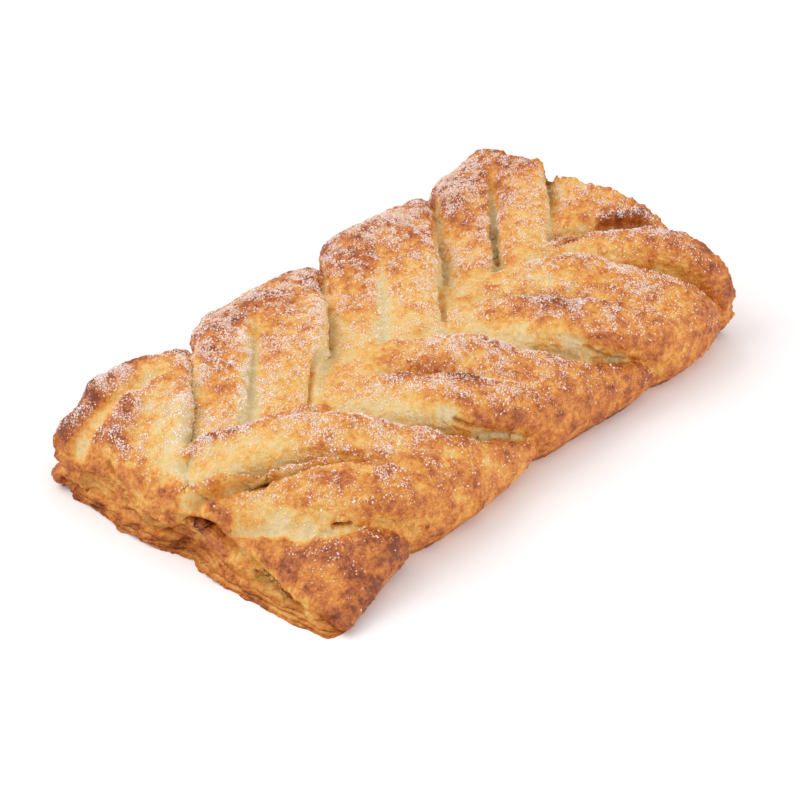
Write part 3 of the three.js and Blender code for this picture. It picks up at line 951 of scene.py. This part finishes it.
def baseLeafTree(settledLoaf):
    # one thin ragged sheet: the rings of a disc drawn out to the base's outline
    sizes = ("Height", "Thick", "BackLeft", "BackRight", "HalfWidth", "Seed")
    tree, add, given = newGeometryTree("baseLeaf", **dict.fromkeys(sizes, "Float"), Material="Material")
    disc = add("GeometryNodeMeshCylinder", leaves["mesh"], fill_type="TRIANGLE_FAN")
    position = add("position")
    at = add("separate", [position]).outputs
    flat = add("vectorTimes", [position, (1, 1, 0)])
    r = add("ShaderNodeVectorMath", [flat], operation="LENGTH").outputs["Value"]
    aim = add("ShaderNodeVectorMath", [flat], operation="NORMALIZE")
    aimed = add("separate", [aim]).outputs
    wide = add("ShaderNodeVectorMath", [aim], operation="ABSOLUTE")
    wide = add("separate", [wide]).outputs
    square = add("ShaderNodeMath", [wide["X"], wide["Y"], leaves["round"]], operation="SMOOTH_MAX")
    most, power = leaves["inset"]
    inset = add("minus", [1, r])
    inset = add("power", [inset, power])
    inset = add("times", [inset, most])
    ends = given["BackLeft"], given["BackRight"]
    back = add("smooth", [aimed["Y"], *leaves["backSpan"], *ends])
    halfLength = add("minus", [plait["length"] / 2, back])
    outline = []
    for axis, half in (("X", halfLength), ("Y", given["HalfWidth"])):
        size = add("minus", [half, inset])
        size = add("over", [size, square])
        outline.append(add("times", [size, aimed[axis]]))
    x, y = outline

    # ragged rims, the near edge in a bow and its corners reaching aside
    lift = add("times", [given["Seed"], leaves["apart"]])
    spot = add("combine", [x, y, lift])
    rim = add("smooth", [r, *leaves["rim"], 0, 1])
    rough = addPatches(add, spot, leaves["ragged"], 0)
    rough = add("times", [rough, rim])
    x = add("timesPlus", [rough, aimed["X"], x])
    rough = add("times", [rough, leaves["sideways"]])
    y = add("timesPlus", [rough, aimed["Y"], y])
    bow = 0
    for start, end, slide in leaves["bow"]:
        bow = add("smooth", [y, start, end, bow, slide])
    bow = add("smooth", [x, *leaves["bowSpan"], 0, bow])
    x = add("plus", [x, bow])
    aside = leaves["aside"]
    for start, end, reach in leaves["corners"]:
        corner = add("smooth", [y, start, end, 0, reach])
        corner = add("smooth", [x, *leaves["cornerSpan"], 0, corner])
        aside = add("plus", [aside, corner])
    y = add("plus", [y, aside])

    # the leaf's thickness, and its rim curled up and down
    z = add("timesPlus", [at["Z"], given["Thick"], given["Height"]])
    beside = add("vectorPlus", [spot, leaves["shift"]])
    for size, depth in leaves["curl"]:
        wave = add("noise", {"Vector": beside, "Scale": 1 / size, "Detail": 2.0})
        wave = add("minus", [wave, 0.5])
        wave = add("times", [wave, rim])
        z = add("timesPlus", [wave, depth, z])
    z = add("atLeast", [z, 0])
    leaf = add("store", {"Geometry": disc, "Name": "rim", "Value": r})
    endSettled(add, given, settledLoaf, leaf, add("combine", [x, y, z]))
    return tree


leafTree = baseLeafTree(settledLoaf)
flakyPastry = flakyPuffPastry()
draw = random.Random(leaves["seed"])
sheets = []
for height, thick, backLeft, backRight in leaves["stack"]:
    sheet = newObject("leaf")
    runTree(sheet, leafTree, Height=height, Thick=thick, Seed=draw.random(), Material=flakyPastry,
            BackLeft=backLeft, BackRight=backRight, HalfWidth=leaves["halfWidth"] - leaves["taper"] * height)
    sheets.append(bakeMesh(sheet))
leaf = joinObjects("leaves", sheets)
print("leaves:", countTriangles(leaf), "triangles")

sugar = {
    # grains to a square millimetre where it lies thickest, smallest and largest size in mm, seed, and
    # whether they are splinters
    "kinds": {"sugarGrains": (4.2, 0.24, 0.42, 11, False), "sugarDust": (12.8, 0.14, 0.26, 23, True)},
    "cube": (1, 0.85, 0.75),  # shapes of a grain and of a splinter, as shares of the size
    "splinter": {"Vertices": 3, "Radius Bottom": 0.85, "Depth": 1.2},
    "turn": (6.28, 6.28, 6.28),  # at most a whole turn about each axis
    # what shows through a grain, on pale and on brown crust and on its painted shade, and a grain that hides
    # it
    "tones": [(0.0, "#ebdfc4"), (0.45, "#ebccab"), (1.0, "#dcb09b")],
    "white": "#f6ebe9",
    "whiter": (2.6, 0.4, 0.6, 0.3),  # size of the whiter clusters in mm, their edges, and the least white
    "roughness": 0.35,
    "ior": 1.54,
}


def whiteSugar():
    # fine white sugar: small glinting crystals, some white, some clear enough to take the crust's colour
    material, add = newMaterial("white sugar")
    toast = add("ShaderNodeAttribute", attribute_name="toast").outputs["Fac"]
    tones = add("ShaderNodeValToRGB", [toast])
    fillRamp(tones.color_ramp, sugar["tones"])
    cloudy = add("ShaderNodeAttribute", attribute_name="cloudy").outputs["Fac"]
    white = linear(sugar["white"])
    colour = add("ShaderNodeMix", {"Factor": cloudy, "A": tones, "B": white}, data_type="RGBA")
    skin = add("ShaderNodeBsdfPrincipled", {"Base Color": colour.outputs["Result"], "IOR": sugar["ior"],
                                            "Roughness": sugar["roughness"]})
    add("ShaderNodeOutputMaterial", [skin])
    return material


def sugarTree():
    # grains dropped on the sugared parts of the crust, each a small cube or splinter turned its own way
    tree, add, given = newGeometryTree("sugar", Crust="Object", Density="Float", Smallest="Float",
                                       Largest="Float", Seed="Int", Splinters="Bool", Material="Material")
    ground = add("object", {"Object": given["Crust"]}).outputs["Geometry"]
    sugared = add("stored", {"Name": "sugared"})
    density = add("times", [sugared, given["Density"]])
    drops = add("GeometryNodeDistributePointsOnFaces", {"Mesh": ground, "Density": density,
                                                        "Seed": given["Seed"]})
    cube = add("GeometryNodeMeshCube", {"Size": sugar["cube"]}).outputs["Mesh"]
    splinter = add("GeometryNodeMeshCone", sugar["splinter"]).outputs["Mesh"]
    crystal = add("GeometryNodeSwitch", {"Switch": given["Splinters"], "False": cube, "True": splinter},
                  input_type="GEOMETRY")
    turn = add("FunctionNodeRandomValue", {"Max": sugar["turn"], "Seed": 1}, data_type="FLOAT_VECTOR")
    scale = add("FunctionNodeRandomValue", {2: given["Smallest"], 3: given["Largest"], "Seed": 2})
    cloudy = add("FunctionNodeRandomValue", {"Seed": 3}).outputs[1]
    size, start, end, least = sugar["whiter"]
    place = add("position")
    cluster = add("noise", {"Vector": place, "Scale": 1 / (size * mm), "Detail": 2.0})
    cluster = add("smooth", [cluster, start, end, least, 1])
    cloudy = add("times", [cloudy, cluster])
    drops = add("store", {"Geometry": drops.outputs["Points"], "Name": "cloudy", "Value": cloudy})
    grains = add("GeometryNodeInstanceOnPoints", {"Points": drops, "Instance": crystal, "Rotation": turn,
                                                  "Scale": scale.outputs[1]})
    endTree(add, given, grains)
    return tree


scatter = sugarTree()
sugarFinish = whiteSugar()
for name, (density, smallest, largest, seed, splinters) in sugar["kinds"].items():
    grains = newObject(name)
    runTree(grains, scatter, Crust=pastry, Density=density / mm ** 2, Seed=seed, Smallest=smallest * mm,
            Largest=largest * mm, Splinters=splinters, Material=sugarFinish)
    bakeMesh(grains)
    print(name + ":", countTriangles(grains), "triangles")
    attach(grains, "root")

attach(leaf, "root")
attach(pastry, "root")
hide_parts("pastry")

# camera at the photo's angle
camera = newObject("camera", bpy.data.cameras.new("camera"))
camera.location = Vector(view["place"]) * mm
camera.rotation_mode = "QUATERNION"
camera.rotation_quaternion = viewTurn
camera.data.lens = view["lens"]
camera.data.sensor_width = view["sensor"]
camera.data.clip_start = 0.01
bpy.context.scene.camera = camera

# pale floor and soft studio light
studio = {"floor": "#f6f2f2", "roughness": 0.9, "size": 6.0, "world": "#ffffff", "worldStrength": 0.91}
half = studio["size"] / 2
floorMesh = bpy.data.meshes.new("floor")
floorCorners = [(-half, -half, 0), (half, -half, 0), (half, half, 0), (-half, half, 0)]
floorMesh.from_pydata(floorCorners, [], [(0, 1, 2, 3)])
floor = newObject("floor", floorMesh)
paper, add = newMaterial("matt white paper")
sheen = {"Base Color": linear(studio["floor"]), "Roughness": studio["roughness"]}
add("ShaderNodeOutputMaterial", [add("ShaderNodeBsdfPrincipled", sheen)])
floor.data.materials.append(paper)

world = bpy.data.worlds.new("softbox room")
world.use_nodes = True
world.node_tree.nodes["Background"].inputs["Color"].default_value = linear(studio["world"])
world.node_tree.nodes["Background"].inputs["Strength"].default_value = studio["worldStrength"]
bpy.context.scene.world = world
bpy.context.scene.view_settings.view_transform = "Standard"

lamps = {  # place and size in millimetres, strength in watts
    "key": {"place": (-260, 420, 520), "size": 520, "power": 2.4},
    "fill": {"place": (150, -620, 170), "size": 420, "power": 1.3},
}
for name, lamp in lamps.items():
    light = bpy.data.lights.new(name, "AREA")
    light.energy = lamp["power"]
    light.size = lamp["size"] * mm
    lampObject = newObject(name, light)
    lampObject.location = Vector(lamp["place"]) * mm
    lampObject.rotation_mode = "QUATERNION"
    lampObject.rotation_quaternion = (-Vector(lamp["place"])).to_track_quat("-Z", "Y")
